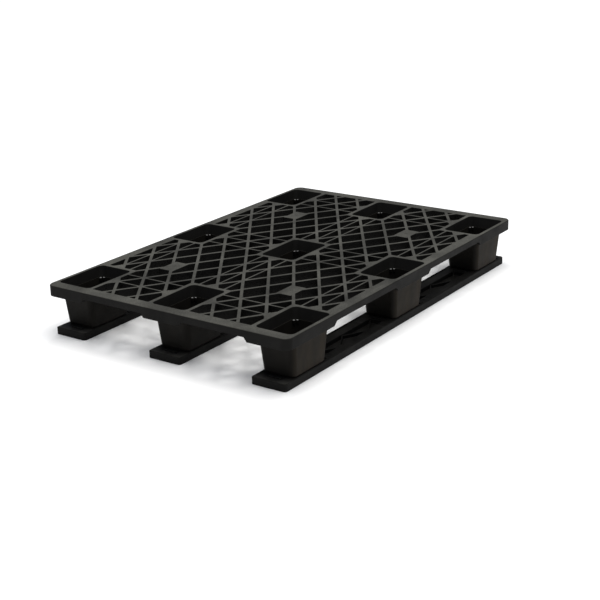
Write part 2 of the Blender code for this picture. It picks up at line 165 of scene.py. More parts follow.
# ---------------------------------------------------------------- modelling
CORNER_STEPS = 8
CUT = 0.010                     # how far a cutting shape runs past what it cuts
STRAIGHT = 0.01                 # a bend with a smaller sine is not a corner
LARGEST_SHARE = 0.45            # how much of an edge the rounding at one end may take
SHARPEST = 0.5                  # limits how far a sharp corner moves when an outline grows
TRIANGLES_INSIDE = 1            # the kind of result asked of delaunay_2d_cdt
GRID_TOLERANCE = 1e-6
SHEET_TOLERANCE = 1e-7

# steps from a pocket's floor or mouth: (how far in, how far up)
CHANNEL_FLOOR = ((0.0016, 0.0), (0.0006, 0.0006), (0.0, 0.002))
CHANNEL_MOUTH = ((-0.0004, -0.0008), (-0.0012, 0.0), (-0.0012, CUT))
WELL_FLOOR = ((0.0010, 0.0), (0.0, 0.001))
WELL_MOUTH = ((-0.0003, -0.0006), (-0.0011, 0.0), (-0.0011, CUT))


# ---------------------------------------------------------------- outlines in plan
def rounded_rectangle(half_x, half_y, radius, centre=(0.0, 0.0), steps=CORNER_STEPS):
    """Anticlockwise points of a rectangle with round corners."""
    points = []
    signs = ((1, 1), (-1, 1), (-1, -1), (1, -1))
    for quarter, (side_x, side_y) in enumerate(signs):
        for step in range(steps + 1):
            angle = math.pi / 2 * (quarter + step / steps)
            x = centre[0] + side_x * (half_x - radius) + radius * math.cos(angle)
            y = centre[1] + side_y * (half_y - radius) + radius * math.sin(angle)
            points.append(Vector((x, y)))
    return points


def rectangle(half_x, half_y, centre=(0.0, 0.0)):
    x, y = centre
    corners = ((half_x, half_y), (-half_x, half_y), (-half_x, -half_y), (half_x, -half_y))
    return [Vector((x + dx, y + dy)) for dx, dy in corners]


def area(outline):
    pairs = zip(outline, outline[1:] + outline[:1])
    return sum(a.x * b.y - b.x * a.y for a, b in pairs) / 2


def without_straight_points(outline):
    """Drops the points that lie on a straight stretch."""
    kept = []
    for index, point in enumerate(outline):
        back = (point - outline[index - 1]).normalized()
        ahead = (outline[(index + 1) % len(outline)] - point).normalized()
        if abs(back.cross(ahead)) > STRAIGHT:
            kept.append(point)
    return kept


def without_short_edges(outline, shortest):
    """Merges the ends of every edge shorter than the given length."""
    points = list(outline)
    index = 0
    while index < len(points) and len(points) > 3:
        ahead = (index + 1) % len(points)
        if (points[ahead] - points[index]).length < shortest:
            points[index] = (points[index] + points[ahead]) / 2
            points.pop(ahead)
            index = 0
        else:
            index += 1
    return points


def round_off(outline, radius, steps=3):
    """Rounds each corner with a short curve that touches both edges."""
    points = []
    for index, corner in enumerate(outline):
        back = outline[index - 1] - corner
        ahead = outline[(index + 1) % len(outline)] - corner
        half_angle = back.angle(ahead) / 2
        longest = LARGEST_SHARE * min(back.length, ahead.length)
        reach = min(radius / math.tan(half_angle), longest)
        start = corner + back.normalized() * reach
        end = corner + ahead.normalized() * reach
        for step in range(steps + 1):
            t = step / steps
            points.append(start * (1 - t) ** 2 + corner * 2 * t * (1 - t) + end * t**2)
    return points


def grown(outline, distance):
    """The anticlockwise outline moved outwards, or inwards for a negative distance."""
    points = []
    for index, point in enumerate(outline):
        back = (point - outline[index - 1]).normalized()
        ahead = (outline[(index + 1) % len(outline)] - point).normalized()
        out = Vector((back.y + ahead.y, -back.x - ahead.x))
        out.normalize()
        facing = max(SHARPEST, out.x * back.y - out.y * back.x)
        points.append(point + out * (distance / facing))
    return points


def listed(outlines):
    """All the points of some outlines in one list, and each outline as indexes into it."""
    points = []
    faces = []
    for outline in outlines:
        faces.append(list(range(len(points), len(points) + len(outline))))
        points.extend(outline)
    return points, faces


# ---------------------------------------------------------------- the grid in plan
def foot_centres():
    return [(column * PITCH_X, row * PITCH_Y) for row in (-1, 0, 1) for column in (-1, 0, 1)]


def diamonds():
    """The openings between two families of diagonal ribs, before anything else is kept."""
    width = PITCH_X / 4
    length = PITCH_Y / 4
    slope = math.hypot(width, length)
    half_x = width / 2 - RIB_DIAGONAL / 2 * slope / length
    half_y = length / 2 - RIB_DIAGONAL / 2 * slope / width
    across = math.ceil(2 * DECK_HALF[0] / width)
    along = math.ceil(2 * DECK_HALF[1] / length)
    found = []
    for i in range(-across, across + 1):
        for j in range(-along, along + 1):
            if (i + j) % 2:
                x = i * width / 2
                y = j * length / 2
                corners = ((x + half_x, y), (x, y + half_y), (x - half_x, y), (x, y - half_y))
                found.append([Vector(corner) for corner in corners])
    return found


def solid_areas():
    """What stays solid inside the rim: borders, gussets, straight ribs and plates."""
    found = []
    for centre in foot_centres():
        found.append(rectangle(CUP[0] + CUP_BORDER, CUP[1] + CUP_BORDER, centre))
        found.append(rectangle(GUSSET[0], CUP[1] + CUP_BORDER + GUSSET_REACH, centre))
        found.append(rectangle(CUP[0] + CUP_BORDER + GUSSET_REACH, GUSSET[1], centre))
    for column in (-1, 0, 1):
        for line in (-1, 0, 1):
            for row in (-0.5, 0.5):
                centre = (column * PITCH_X + line * PITCH_X / 8, row * PITCH_Y)
                found.append(rectangle(RIB_STRAIGHT / 2, PITCH_Y / 2 - CUP[1], centre))
    for row in (-1, 0, 1):
        for line in (-1, 0, 1):
            if abs(row + line) < 2:
                for column in (-0.5, 0.5):
                    centre = (column * PITCH_X, row * PITCH_Y + line * PITCH_Y / 8)
                    found.append(rectangle(PITCH_X / 2 - CUP[0], RIB_STRAIGHT / 2, centre))
    for x in (-PLATE_AT[0], PLATE_AT[0]):
        for y in (-PLATE_AT[1], PLATE_AT[1]):
            found.append(rectangle(*PLATE_HALF, (x, y)))
    return found


def boundary_loops(faces):
    """The closed chains of edges that have a face on one side only."""
    directed = {edge for face in faces for edge in zip(face, face[1:] + face[:1])}
    following = {a: b for a, b in directed if (b, a) not in directed}
    loops = []
    while following:
        first, point = following.popitem()
        loop = [first]
        while point != first:
            loop.append(point)
            point = following.pop(point)
        loops.append(loop)
    return loops


def grid_openings():
    """Outlines of the grid's openings, with rounded corners."""
    opened = diamonds()
    window = rectangle(DECK_HALF[0] - RIM[0], DECK_HALF[1] - RIM[1])
    shapes = [window] + opened + solid_areas()
    first_kept = 1 + len(opened)
    points, faces = listed(shapes)
    spots, _, pieces, _, _, sources = delaunay_2d_cdt(
        points, [], faces, TRIANGLES_INSIDE, GRID_TOLERANCE, True
    )
    inside = []
    for piece, source in zip(pieces, sources):
        in_window = 0 in source
        in_diamond = any(1 <= shape < first_kept for shape in source)
        if in_window and in_diamond and max(source) < first_kept:
            inside.append(list(piece))
    openings = []
    for loop in boundary_loops(inside):
        outline = without_straight_points([Vector(spots[index]) for index in loop])
        outline = without_short_edges(outline, SHORTEST_EDGE)
        if len(outline) > 2 and area(outline) > SMALLEST_CELL:
            openings.append(round_off(outline, CELL_CORNER))
    return openings


# ---------------------------------------------------------------- meshes
def add_ring(mesh_data, outline, z):
    return [mesh_data.verts.new((point.x, point.y, z)) for point in outline]


def join_rings(mesh_data, lower, upper):
    """Faces between two rings, pointing away from their middle when they run anticlockwise."""
    count = len(lower)
    for index in range(count):
        ahead = (index + 1) % count
        mesh_data.faces.new((lower[index], lower[ahead], upper[ahead], upper[index]))


def add_loft(mesh_data, sections):
    """A closed solid through (outline, z) sections, with flat ends."""
    rings = [add_ring(mesh_data, outline, z) for outline, z in sections]
    for lower, upper in zip(rings, rings[1:]):
        join_rings(mesh_data, lower, upper)
    mesh_data.faces.new(list(reversed(rings[0])))
    mesh_data.faces.new(rings[-1])


def fillet_steps(radius, steps=FILLET_STEPS):
    """(how far in, how far down) along a quarter round, from the flat top to the upright side."""
    found = []
    for step in range(steps + 1):
        angle = math.pi / 2 * step / steps
        found.append((radius * (1 - math.sin(angle)), radius * (1 - math.cos(angle))))
    return found


def add_sheet(mesh_data, outer, holes, z, upwards):
    """A flat face with holes at a level.  Returns the rings of its outer edge and its holes."""
    points, faces = listed([outer] + holes)
    spots, _, pieces, origins, _, sources = delaunay_2d_cdt(
        points, [], faces, TRIANGLES_INSIDE, SHEET_TOLERANCE, True
    )
    verts = [mesh_data.verts.new((spot[0], spot[1], z)) for spot in spots]
    vert_of = {index: vert for vert, origin in zip(verts, origins) for index in origin}
    for piece, source in zip(pieces, sources):
        if list(source) == [0]:
            order = piece if upwards else list(reversed(piece))
            mesh_data.faces.new([verts[index] for index in order])
    for vert in verts:
        if not vert.link_faces:
            mesh_data.verts.remove(vert)
    return [[vert_of[index] for index in face] for face in faces]


def new_object(mesh_data, name):
    mesh = bpy.data.meshes.new(name)
    mesh_data.to_mesh(mesh)
    mesh_data.free()
    obj = bpy.data.objects.new(name, mesh)
    bpy.context.scene.collection.objects.link(obj)
    return obj


def apply_modifiers(obj):
    depsgraph = bpy.context.evaluated_depsgraph_get()
    done = bpy.data.meshes.new_from_object(obj.evaluated_get(depsgraph))
    obj.modifiers.clear()
    done.materials.clear()
    obj.data = done


def combine(obj, operation, mesh_data, name):
    """Cuts or joins a shape that is then thrown away."""
    bmesh.ops.recalc_face_normals(mesh_data, faces=mesh_data.faces)
    other = new_object(mesh_data, name)
    modifier = obj.modifiers.new(name, "BOOLEAN")
    modifier.operation = operation
    modifier.solver = "MANIFOLD"
    modifier.object = other
    apply_modifiers(obj)
    bpy.data.objects.remove(other, do_unlink=True)


def finish_surface(obj, sharp_degrees):
    """Smooth shading that keeps flat faces flat up to their rounded edges."""
    obj.data.shade_smooth()
    obj.data.set_sharp_from_angle(angle=math.radians(sharp_degrees))
    modifier = obj.modifiers.new("even_shading", "WEIGHTED_NORMAL")
    modifier.keep_sharp = True
    modifier.weight = 100
    apply_modifiers(obj)


def add_box(mesh_data, centre, size):
    matrix = Matrix.Translation(centre) @ Matrix.Diagonal((*size, 1.0))
    bmesh.ops.create_cube(mesh_data, size=1.0, matrix=matrix)


def add_taper(mesh_data, centre, base_half, base_z, top_half, top_z):
    """A box whose top and base differ in size."""
    for vert in bmesh.ops.create_cube(mesh_data, size=2.0)["verts"]:
        half, level = (top_half, top_z) if vert.co.z > 0 else (base_half, base_z)
        vert.co = (centre[0] + half[0] * vert.co.x, centre[1] + half[1] * vert.co.y, level)


# ---------------------------------------------------------------- deck
def deck_slab():
    """The deck as a slab with filleted, drafted openings, before its underside is cut."""
    mesh_data = bmesh.new()
    outer = rounded_rectangle(*DECK_HALF, DECK_CORNER)
    cells = grid_openings()
    cups = [rounded_rectangle(*CUP, CUP_CORNER, centre) for centre in foot_centres()]
    collars = [rounded_rectangle(*COLLAR, COLLAR_CORNER, centre) for centre in foot_centres()]

    outer_steps = fillet_steps(EDGE_FILLET)
    cell_steps = fillet_steps(RIB_FILLET)
    cup_steps = fillet_steps(CUP_FILLET)
    top_holes = [grown(cell, cell_steps[0][0]) for cell in cells]
    top_holes += [grown(cup, cup_steps[0][0]) for cup in cups]
    base_holes = [grown(cell, CELL_DRAFT) for cell in cells] + collars
    top_rings = add_sheet(mesh_data, grown(outer, -outer_steps[0][0]), top_holes, TOP, True)
    base_rings = add_sheet(mesh_data, grown(outer, -COLLAR_EDGE), base_holes, COLLAR_BASE, False)

    ring = top_rings[0]
    for inward, down in outer_steps[1:]:
        lower = add_ring(mesh_data, grown(outer, -inward), TOP - down)
        join_rings(mesh_data, lower, ring)
        ring = lower
    for inward, up in reversed(fillet_steps(COLLAR_EDGE)[1:]):
        lower = add_ring(mesh_data, grown(outer, -inward), COLLAR_BASE + up)
        join_rings(mesh_data, lower, ring)
        ring = lower
    join_rings(mesh_data, base_rings[0], ring)

    steps = [cell_steps] * len(cells) + [cup_steps] * len(cups)
    for outline, shape_steps, ring, base in zip(cells + cups, steps, top_rings[1:], base_rings[1:]):
        for outward, down in shape_steps[1:]:
            lower = add_ring(mesh_data, grown(outline, outward), TOP - down)
            join_rings(mesh_data, ring, lower)
            ring = lower
        join_rings(mesh_data, ring, base)
    return new_object(mesh_data, "deck")


def collar_half(level):
    return tuple(half + slope * (level - COLLAR_BASE) for half, slope in zip(COLLAR_FOOT, COLLAR_SLOPE))


def cut_between_collars(deck, name, high, margin, stretches_x, stretches_y):
    """Raises the underside to a level over stretches along X and Y, each (middle, half length)."""
    low = COLLAR_BASE - CUT
    narrow = collar_half(low)
    wide = collar_half(high)
    reach_x = (PITCH_X / 2 - narrow[0] - margin, PITCH_X / 2 - wide[0] - margin)
    reach_y = (PITCH_Y / 2 - narrow[1] - margin, PITCH_Y / 2 - wide[1] - margin)
    along = bmesh.new()
    across = bmesh.new()
    for side in (-0.5, 0.5):
        for middle, depth in stretches_y:
            centre = (side * PITCH_X, middle)
            add_taper(along, centre, (reach_x[0], depth), low, (reach_x[1], depth), high)
        for middle, depth in stretches_x:
            centre = (middle, side * PITCH_Y)
            add_taper(across, centre, (depth, reach_y[0]), low, (depth, reach_y[1]), high)
    combine(deck, "DIFFERENCE", along, f"{name}_along")
    combine(deck, "DIFFERENCE", across, f"{name}_across")


def cut_lanes(deck):
    """Raises the underside between the collars, to the grid and to the arched edges."""
    whole = [[(0.0, half + CUT)] for half in DECK_HALF]
    cut_between_collars(deck, "lanes", GRID_BASE, 0.0, *whole)
    edges = []
    for half, rim in zip(DECK_HALF, RIM):
        depth = (rim - SKIN + CUT) / 2
        edges.append([(end * (half - rim + SKIN + depth), depth) for end in (-1, 1)])
    cut_between_collars(deck, "arches", APRON_BASE, ARCH_MARGIN, *edges)


def bays(length, pitch):
    """Middles and half length of equal bays with a web between them."""
    count = max(1, round(length / pitch))
    step = length / count
    return [-length / 2 + step * (index + 0.5) for index in range(count)], (step - SKIN) / 2


def add_hollow(hollows, centre, half):
    """A hollow that is open below and a little smaller at its top."""
    top_half = tuple(size - HOLLOW_DRAFT for size in half)
    add_taper(hollows, centre, half, COLLAR_BASE - CUT, top_half, TOP - SKIN)


def cut_hollows(deck):
    """Ribbed hollows under the rim and beyond the end feet."""
    hollows = bmesh.new()
    lip_length, lip_bay, lip_gap = LIP
    for end in (-1, 1):
        for side in (-0.5, 0.5):
            half = RIM[0] / 2 - SKIN
            middles, reach = bays(PITCH_Y - 2 * CUP[1] - 4 * CUP_BORDER, SIDE_BAY)
            for middle in middles:
                centre = (end * (DECK_HALF[0] - RIM[0] / 2), side * PITCH_Y + middle)
                add_hollow(hollows, centre, (half, reach))
            half = RIM[1] / 2 - SKIN
            middles, reach = bays(PITCH_X - 2 * CUP[0] - 4 * CUP_BORDER, END_BAY)
            for middle in middles:
                centre = (side * PITCH_X + middle, end * (DECK_HALF[1] - RIM[1] / 2))
                add_hollow(hollows, centre, (reach, half))
        inner = PITCH_Y + FOOT_TOP_HALF[1] + lip_gap
        outer = DECK_HALF[1] - SKIN
        half = (outer - inner) / 2
        for column in (-1, 0, 1):
            middles, reach = bays(lip_length, lip_bay)
            for middle in middles:
                centre = (column * PITCH_X + middle, end * (inner + half))
                add_hollow(hollows, centre, (reach, half))
    combine(deck, "DIFFERENCE", hollows, "hollows")


def cut_gate_marks(deck):
    """A shallow round mark with a small nub in the middle of each solid plate."""
    marks = bmesh.new()
    nubs = bmesh.new()
    for x in (-PLATE_AT[0], PLATE_AT[0]):
        for y in (-PLATE_AT[1], PLATE_AT[1]):
            place = Matrix.Translation((x, y, TOP))
            bmesh.ops.create_cone(
                marks, cap_ends=True, segments=40, radius1=GATE_RADIUS - GATE_DEPTH,
                radius2=GATE_RADIUS + GATE_DEPTH, depth=2 * GATE_DEPTH, matrix=place,
            )
            place = Matrix.Translation((x, y, TOP - GATE_DEPTH))
            bmesh.ops.create_cone(
                nubs, cap_ends=True, segments=24, radius1=NUB_RADII[0], radius2=NUB_RADII[1],
                depth=2 * GATE_DEPTH * NUB_SHARE, matrix=place,
            )
    combine(deck, "DIFFERENCE", marks, "gate_marks")
    combine(deck, "UNION", nubs, "gate_nubs")


def make_deck(material):
    deck = deck_slab()
    cut_lanes(deck)
    cut_hollows(deck)
    cut_gate_marks(deck)
    finish_surface(deck, 32)
    deck.data.materials.append(material)
    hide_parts("deck_grid")
    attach(deck, "deck")


# ---------------------------------------------------------------- feet
def foot_half(z):
    """Outer half size of a foot at a height."""
    share = (z - FOOT_BASE) / (FOOT_HIGH.z - FOOT_BASE)
    return tuple(low + (high - low) * share for low, high in zip(FOOT_BASE_HALF, FOOT_TOP_HALF))


def foot_outline(z, inset=0.0):
    half = foot_half(z)
    corner = max(FOOT_CORNER - inset, FOOT_SMALLEST_CORNER)
    return rounded_rectangle(half[0] - inset, half[1] - inset, corner)


def lug_sections():
    """A boss from below: (how far in, level) at its toe, its side and its domed top."""
    base = LUG_TOP - LUG_HEIGHT
    sections = [(LUG_TOE[0], base), (0.0, base + LUG_TOE[1])]
    for inward, down in reversed(fillet_steps(LUG_DOME, 4)):
        sections.append((inward, LUG_TOP - down))
    return sections


def lug_shapes():
    """Two short bosses with domed tops in each of two opposite inner corners."""
    lugs = bmesh.new()
    half_x, half_y = foot_half(COLLAR_BASE)
    for side in (-1, 1):
        x = side * (half_x - FOOT_CORNER - LUG_SHIFT[0])
        y = -side * (half_y - FOOT_CORNER + LUG_SHIFT[1])
        for turn in (-LUG_TURN, LUG_TURN):
            angle = math.atan2(-side, side) + turn
            centre = (x + math.cos(angle) * LUG_REACH, y + math.sin(angle) * LUG_REACH)
            outlines = []
            for inward, z in lug_sections():
                half = LUG_RADIUS - inward
                outlines.append((rounded_rectangle(half, half, half, centre, 6), z))
            add_loft(lugs, outlines)
    return lugs


def foot_shell():
    """The open cup: up its outside from the rounded base, over its top and down to its floor."""
    mesh_data = bmesh.new()
    top = COLLAR_BASE + FOOT_OVERLAP
    floor = FOOT_BASE + FOOT_FLOOR
    sections = []
    for inward, up in fillet_steps(FOOT_EDGE, 5):
        sections.append((foot_outline(FOOT_BASE + up, inward), FOOT_BASE + up))
    sections.append((foot_outline(top), top))
    sections.append((foot_outline(top, FOOT_WALL), top))
    for inward, up in reversed(fillet_steps(FOOT_INNER_EDGE, 4)):
        sections.append((foot_outline(floor + up, FOOT_WALL + inward), floor + up))
    add_loft(mesh_data, sections)
    return new_object(mesh_data, "foot")


def hook_slots():
    """Slots in the floor for the runner's hooks to pass."""
    slots = bmesh.new()
    size_x = HOOK[0] + 2 * SLOT_CLEARANCE
    size_y = HOOK[1] + HOOK_NOSE + 2 * SLOT_CLEARANCE
    for at in HOOK_AT:
        centre = (CHANNEL_AT, at + HOOK_NOSE / 2, FOOT_BASE + FOOT_FLOOR / 2)
        add_box(slots, centre, (size_x, size_y, FOOT_FLOOR + CUT))
    return slots


def foot_mesh():
    foot = foot_shell()
    combine(foot, "UNION", lug_shapes(), "lugs")
    combine(foot, "DIFFERENCE", hook_slots(), "slots")
    finish_surface(foot, 40)
    mesh = foot.data
    bpy.data.objects.remove(foot, do_unlink=True)
    return mesh


def make_feet(materials):
    """Nine copies of one foot, with a material for each column."""
    foot = foot_mesh()
    for column, (column_name, material) in enumerate(zip(COLUMN_NAMES, materials), -1):
        mesh = foot.copy()
        mesh.materials.append(material)
        for row, row_name in enumerate(ROW_NAMES, -1):
            node_name = f"foot_{row_name}_{column_name}"
            piece = bpy.data.objects.new(f"{node_name}_shell", mesh)
            bpy.context.scene.collection.objects.link(piece)
            piece.location = (column * PITCH_X, row * PITCH_Y, 0.0)
            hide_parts(node_name)
            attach(piece, "deck")


# ---------------------------------------------------------------- runners
def runner_outline():
    """Anticlockwise outline: straight on +X, stepped in between the pads on -X."""
    inner = RUNNER_LOW.x
    outer, y = RUNNER_HIGH.xy
    points = [Vector((outer, y)), Vector((inner, y))]
    for row in (0, -1):
        start = row * PITCH_Y + PAD[1]
        end = (row + 1) * PITCH_Y + PAD[0]
        points.append(Vector((inner, end)))
        points.append(Vector((inner + WAIST, end - WAIST_RAMP)))
        points.append(Vector((inner + WAIST, start + WAIST_STEP)))
        points.append(Vector((inner, start)))
    points += [Vector((inner, -y)), Vector((outer, -y))]
    rounded = []
    for index, point in enumerate(points):
        outer_corner = index in (0, len(points) - 1)
        radius, steps = (RUNNER_CORNER, 8) if outer_corner else (BEND_CORNER, 4)
        triple = [points[index - 1], point, points[(index + 1) % len(points)]]
        curve = round_off(triple, radius, steps)
        rounded += curve[steps + 1 : 2 * (steps + 1)]   # the part for the middle corner, this one
    return rounded


def runner_bar():
    mesh_data = bmesh.new()
    outline = runner_outline()
    sections = [(grown(outline, -RUNNER_TOE), 0.0), (outline, RUNNER_TOE)]
    for inward, down in reversed(fillet_steps(RUNNER_EDGE, 5)):
        sections.append((grown(outline, -inward), RUNNER_TOP - down))
    add_loft(mesh_data, sections)
    ends = [face for face in mesh_data.faces if len(face.verts) > 4]
    bmesh.ops.triangulate(mesh_data, faces=ends)
    return new_object(mesh_data, "runner")


def add_pocket(mesh_data, half, corner, centre, floor, floor_steps, mouth_steps, steps=CORNER_STEPS):
    """A pocket to cut into the runner's top, down to a floor with soft edges."""
    levels = [(inset, floor + up) for inset, up in floor_steps]
    levels += [(inset, RUNNER_TOP + up) for inset, up in mouth_steps]
    sections = []
    for inset, z in levels:
        outline = rounded_rectangle(half[0] - inset, half[1] - inset, corner - inset, centre, steps)
        sections.append((outline, z))
    add_loft(mesh_data, sections)


def zigzag_points(start, end):
    """Corners of the zigzag rib, from the inner side of the channel."""
    step = (end - start) / ZIGZAG_LEGS
    half = CHANNEL_HALF
    return [
        Vector((CHANNEL_AT + (half if index % 2 else -half), start + index * step))
        for index in range(ZIGZAG_LEGS + 1)
    ]


def zigzag_leg(a, b, floor):
    """One straight rib of the zigzag, with a chamfered top."""
    leg = bmesh.new()
    along = (b - a).normalized()
    side = Vector((-along.y, along.x))
    top = RUNNER_TOP - ZIGZAG_DROP
    levels = ((-ZIGZAG_SPREAD, floor - ZIGZAG_SINK), (0.0, floor + ZIGZAG_SINK),
              (0.0, top - ZIGZAG_EDGE), (ZIGZAG_EDGE, top))
    sections = []
    for inset, z in levels:
        reach = along * (ZIGZAG_REACH - inset)
        across = side * (ZIGZAG_RIB / 2 - inset)
        outline = [a - reach - across, b + reach - across, b + reach + across, a - reach + across]
        sections.append((outline, z))
    add_loft(leg, sections)
    return leg


def channel_ends(row):
    """Where the channel between a row of feet and the next one starts and ends."""
    return row * PITCH_Y + CHANNEL[0], (row + 1) * PITCH_Y + CHANNEL[1]


def cut_channels(runner):
    """Channels between the pads, then the zigzag ribs back into them."""
    channels = bmesh.new()
    floor = RUNNER_TOP - CHANNEL_DEPTH
    for row in (-1, 0):
        start, end = channel_ends(row)
        half = (CHANNEL_HALF, (end - start) / 2)
        centre = (CHANNEL_AT, (start + end) / 2)
        add_pocket(channels, half, CHANNEL_CORNER, centre, floor, CHANNEL_FLOOR, CHANNEL_MOUTH)
    combine(runner, "DIFFERENCE", channels, "channels")

    for row in (-1, 0):
        corners = zigzag_points(*channel_ends(row))
        for leg, (a, b) in enumerate(zip(corners, corners[1:])):
            combine(runner, "UNION", zigzag_leg(a, b, floor), f"zigzag_{row}_{leg}")


def hook_outline():
    """Side view of a snap hook, as (y, z) points."""
    stem = HOOK[1] / 2
    nose = stem + HOOK_NOSE
    root = RUNNER_TOP - WELL[2] - HOOK_FLARE
    barb = [HOOK_TOP - down for down in HOOK_BARB]
    points = [(-stem - HOOK_FLARE, root), (stem + HOOK_FLARE, root), (stem, root + HOOK_BEND)]
    points += [(stem, barb[0]), (nose, barb[1]), (nose, barb[2]), (stem - HOOK_SLANT, barb[3])]
    points += [(stem - HOOK_TIP[0], HOOK_TOP), (-stem + HOOK_TIP[1], HOOK_TOP)]
    points += [(-stem, HOOK_TOP - HOOK_TIP[1])]
    return points


def add_hook(mesh_data, y):
    """A snap hook as slices along X, the end ones a little smaller."""
    half = HOOK[0] / 2
    slices = ((-half, HOOK_EDGE), (-half + HOOK_EDGE, 0.0), (half - HOOK_EDGE, 0.0), (half, HOOK_EDGE))
    rings = []
    for x, shrink in slices:
        ring = []
        for side, z in hook_outline():
            side = side - math.copysign(shrink, side)
            ring.append(mesh_data.verts.new((CHANNEL_AT + x, y + side, z - shrink)))
        rings.append(ring)
    for first, second in zip(rings, rings[1:]):
        join_rings(mesh_data, first, second)
    mesh_data.faces.new(list(reversed(rings[0])))
    mesh_data.faces.new(rings[-1])


def add_hooks(runner):
    """Wells in the pads, each with a snap hook standing in it."""
    wells = bmesh.new()
    hooks = bmesh.new()
    half = (WELL[0] / 2, WELL[1] / 2)
    floor = RUNNER_TOP - WELL[2]
    for row in (-1, 0, 1):
        for at in HOOK_AT:
            y = row * PITCH_Y + at
            centre = (CHANNEL_AT, y + HOOK_NOSE / 2)
            add_pocket(wells, half, WELL_CORNER, centre, floor, WELL_FLOOR, WELL_MOUTH, 4)
            add_hook(hooks, y)
    combine(runner, "DIFFERENCE", wells, "wells")
    combine(runner, "UNION", hooks, "hooks")


def add_ridges(runner):
    """A flat ridge behind each foot and a low bar in front of it, with soft edges."""
    ridges = bmesh.new()
    for row in (-1, 0, 1):
        for width, length, height, at in (RIDGE, BAR):
            centre = (CHANNEL_AT, row * PITCH_Y + at)
            levels = [(0.0, RUNNER_TOP - RIDGE_SINK)]
            for inward, down in reversed(fillet_steps(RIDGE_EDGE, 3)):
                levels.append((inward, RUNNER_TOP + height - down))
            sections = []
            for inset, z in levels:
                half = (width / 2 - inset, length / 2 - inset)
                sections.append((rounded_rectangle(*half, RIDGE_CORNER - inset, centre, 4), z))
            add_loft(ridges, sections)
    combine(runner, "UNION", ridges, "ridges")


def make_runners(material):
    runner = runner_bar()
    cut_channels(runner)
    add_hooks(runner)
    add_ridges(runner)
    finish_surface(runner, 35)
    mesh = runner.data
    mesh.materials.append(material)
    bpy.data.objects.remove(runner, do_unlink=True)
    for column, name in enumerate(COLUMN_NAMES, -1):
        node_name = f"runner_{name}"
        piece = bpy.data.objects.new(f"{node_name}_bar", mesh)
        bpy.context.scene.collection.objects.link(piece)
        piece.location = (column * PITCH_X, 0.0, 0.0)
        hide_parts(node_name)
        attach(piece, node_name)


# ---------------------------------------------------------------- materials
# darkest and lightest pigment, dust on what faces up (on the deck also painted sheen), and how much of
# it shows
# the deck's pale tops are dust and painted sheen
DECK_BLACK = ((0.0084, 0.0081, 0.0075), (0.0130, 0.0125, 0.0114), (0.102, 0.100, 0.087), 0.95)
FOOT_BLACK = ((0.0070, 0.0064, 0.0055), (0.0115, 0.0103, 0.0085), (0.050, 0.048, 0.042), 0.5)
RUNNER_BLACK = ((0.0066, 0.0064, 0.0060), (0.0112, 0.0108, 0.0098), (0.050, 0.049, 0.046), 0.06)
STAIN_BROWN = (0.0240, 0.0188, 0.0126)
# painted highlight on the lugs' domed tops
PAINTED_LUG_HIGHLIGHT = (COLLAR_BASE - 0.006, LUG_TOP, (0.19, 0.19, 0.19))  # lowest, highest, colour
# painted light on the top of the runners' end stretches
PAINTED_LIGHT_ENDS = (0.550, 0.574, (0.036, 0.035, 0.032))   # along Y: starts, is full; colour
FLOW_UPRIGHT = (1.0, 1.0, 0.15)     # stretches the streaks along the plastic's flow
FLOW_LENGTHWISE = (1.0, 0.15, 1.0)
FOOT_SEED = 3.1                     # moves the noise, so that the materials' patterns differ
RUNNER_SEED = 7.3
SPECULAR_LEVEL = 0.05
FACING_UP = (0.55, 0.98)            # upward part of the normal: starts to count, counts fully
STAIN_NORMAL = (0.50, 0.97)         # the same for the sideways part on a stained side
STAIN_PLACE = (0.020, 0.042)        # and for its distance from the foot's middle
TIP_START = 0.002                   # height over which the painted highlight on the lug tops fades in
TIP_END = (0.0003, 0.0006)          # and out again, above the highest

# noise scales, in features per metre
MOTTLE_SCALE = 14.0
STREAK_SCALE = 70.0
STAIN_SCALE = 34.0
# patches of the painted light on the runners' ends
PAINTED_LIGHT_PATCH_SCALE = 60.0
DUST_AND_SHEEN_SCALE = 9.0
SPECKLE_SCALE = 420.0
GLOSS_SCALE = 26.0
GRAIN_SCALE = 1500.0
WAVE_SCALE = 45.0

STREAK_SHARE = 0.35                 # how much of the streaks and of the scratches shows
SCRATCH_SHARE = 0.30
# scratches along Y and along X: noise scale, stretch, and where in the noise they start and are full
SCRATCHES = ((90.0, (1.0, 0.03, 1.0), 0.655, 0.70), (80.0, (0.04, 1.0, 1.0), 0.665, 0.71))


def node(tree, kind, inputs=None, **settings):
    """A shader node with its settings and input values."""
    made = tree.nodes.new(kind)
    for key, value in settings.items():
        setattr(made, key, value)
    for key, value in (inputs or {}).items():
        made.inputs[key].default_value = value
    return made


def noise(tree, vector, scale, detail, stretch=(1.0, 1.0, 1.0)):
    mapping = node(tree, "ShaderNodeMapping", {"Scale": stretch})
    tree.links.new(vector, mapping.inputs["Vector"])
    made = node(tree, "ShaderNodeTexNoise", {"Scale": scale, "Detail": detail, "Roughness": 0.55})
    tree.links.new(mapping.outputs["Vector"], made.inputs["Vector"])
    return made.outputs["Fac"]


def ramp(tree, value, low, high, low_value=0.0, high_value=1.0):
    """Goes from one value to the other as the input goes from low to high, and stays there."""
    limits = {"From Min": low, "From Max": high, "To Min": low_value, "To Max": high_value}
    made = node(tree, "ShaderNodeMapRange", limits, clamp=True)
    tree.links.new(value, made.inputs["Value"])
    return made.outputs["Result"]


def times(tree, first, second):
    made = node(tree, "ShaderNodeMath", operation="MULTIPLY")
    for index, value in enumerate((first, second)):
        if isinstance(value, float):
            made.inputs[index].default_value = value
        else:
            tree.links.new(value, made.inputs[index])
    return made.outputs["Value"]


def blend_colour(tree, amount, first, second):
    made = node(tree, "ShaderNodeMix", data_type="RGBA")
    tree.links.new(amount, made.inputs[0])
    for index, value in ((6, first), (7, second)):
        if isinstance(value, tuple):
            made.inputs[index].default_value = (*value, 1.0)
        else:
            tree.links.new(value, made.inputs[index])
    return made.outputs[2]


